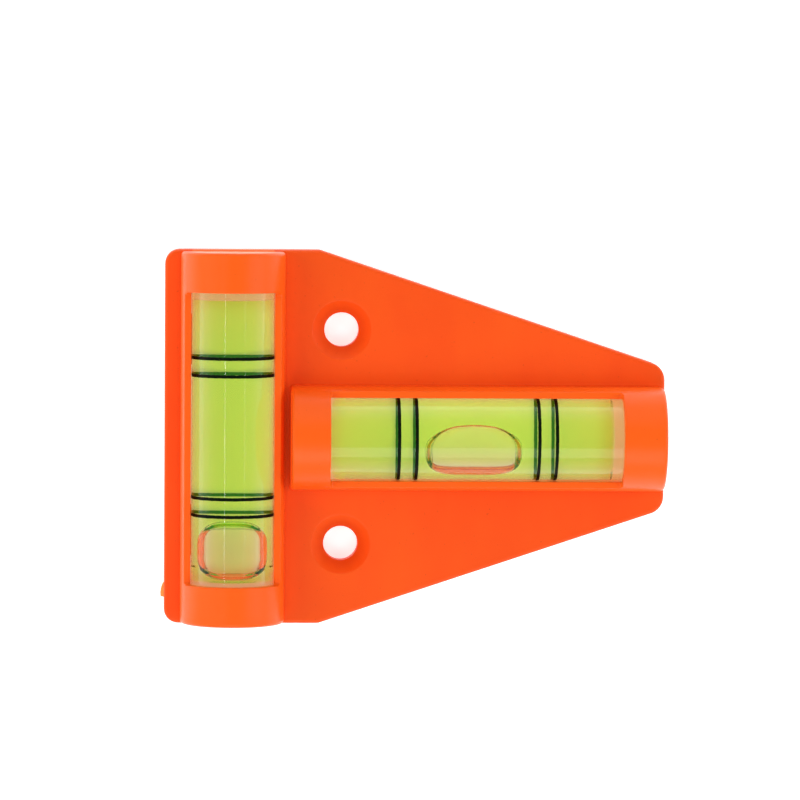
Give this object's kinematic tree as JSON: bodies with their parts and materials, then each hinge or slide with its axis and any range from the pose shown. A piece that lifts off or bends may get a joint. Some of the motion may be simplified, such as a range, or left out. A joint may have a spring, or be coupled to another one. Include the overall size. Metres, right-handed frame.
{
  "type": "t-shaped bubble level",
  "caption": "T-shaped bubble level: a moulded plate with countersunk screw holes and clear liquid vials along its crossbar and its stem, each with a bubble that slides to show level.",
  "frame": {"origin": "middle of the plate's outline, on the flat back plane", "axes": "+X along the stem of the T towards its tip, +Y along the crossbar, +Z out of the front, away from the surface that the level is fixed to"},
  "size_m": [0.0705, 0.0522, 0.0132],
  "materials": {
    "body": "satin orange moulded plastic",
    "clear_plastic": "clear polished acrylic",
    "liquid": "clear yellow-green liquid",
    "air": "air bubble",
    "line_paint": "matt black paint"
  },
  "bodies": {
    "level": {"body": "body", "stem_barrel": "clear_plastic", "stem_plug": "clear_plastic", "stem_liquid": "liquid", "stem_ring_1": "line_paint", "stem_ring_2": "line_paint", "stem_ring_3": "line_paint", "stem_ring_4": "line_paint", "cross_barrel": "clear_plastic", "cross_plug": "clear_plastic", "cross_liquid": "liquid", "cross_ring_1": "line_paint", "cross_ring_2": "line_paint", "cross_ring_3": "line_paint", "cross_ring_4": "line_paint"},
    "stem_air": {"stem_bubble": "air"},
    "cross_air": {"cross_bubble": "air"}
  },
  "joints": [
    {"name": "stem_bubble_slide", "type": "slide", "parent": "level", "child": "stem_air", "axis": [1, 0, 0], "range_m": [-0.0127, 0.0122]},
    {"name": "cross_bubble_slide", "type": "slide", "parent": "level", "child": "cross_air", "axis": [0, 1, 0], "range_m": [0, 0.0303]}
  ]
}
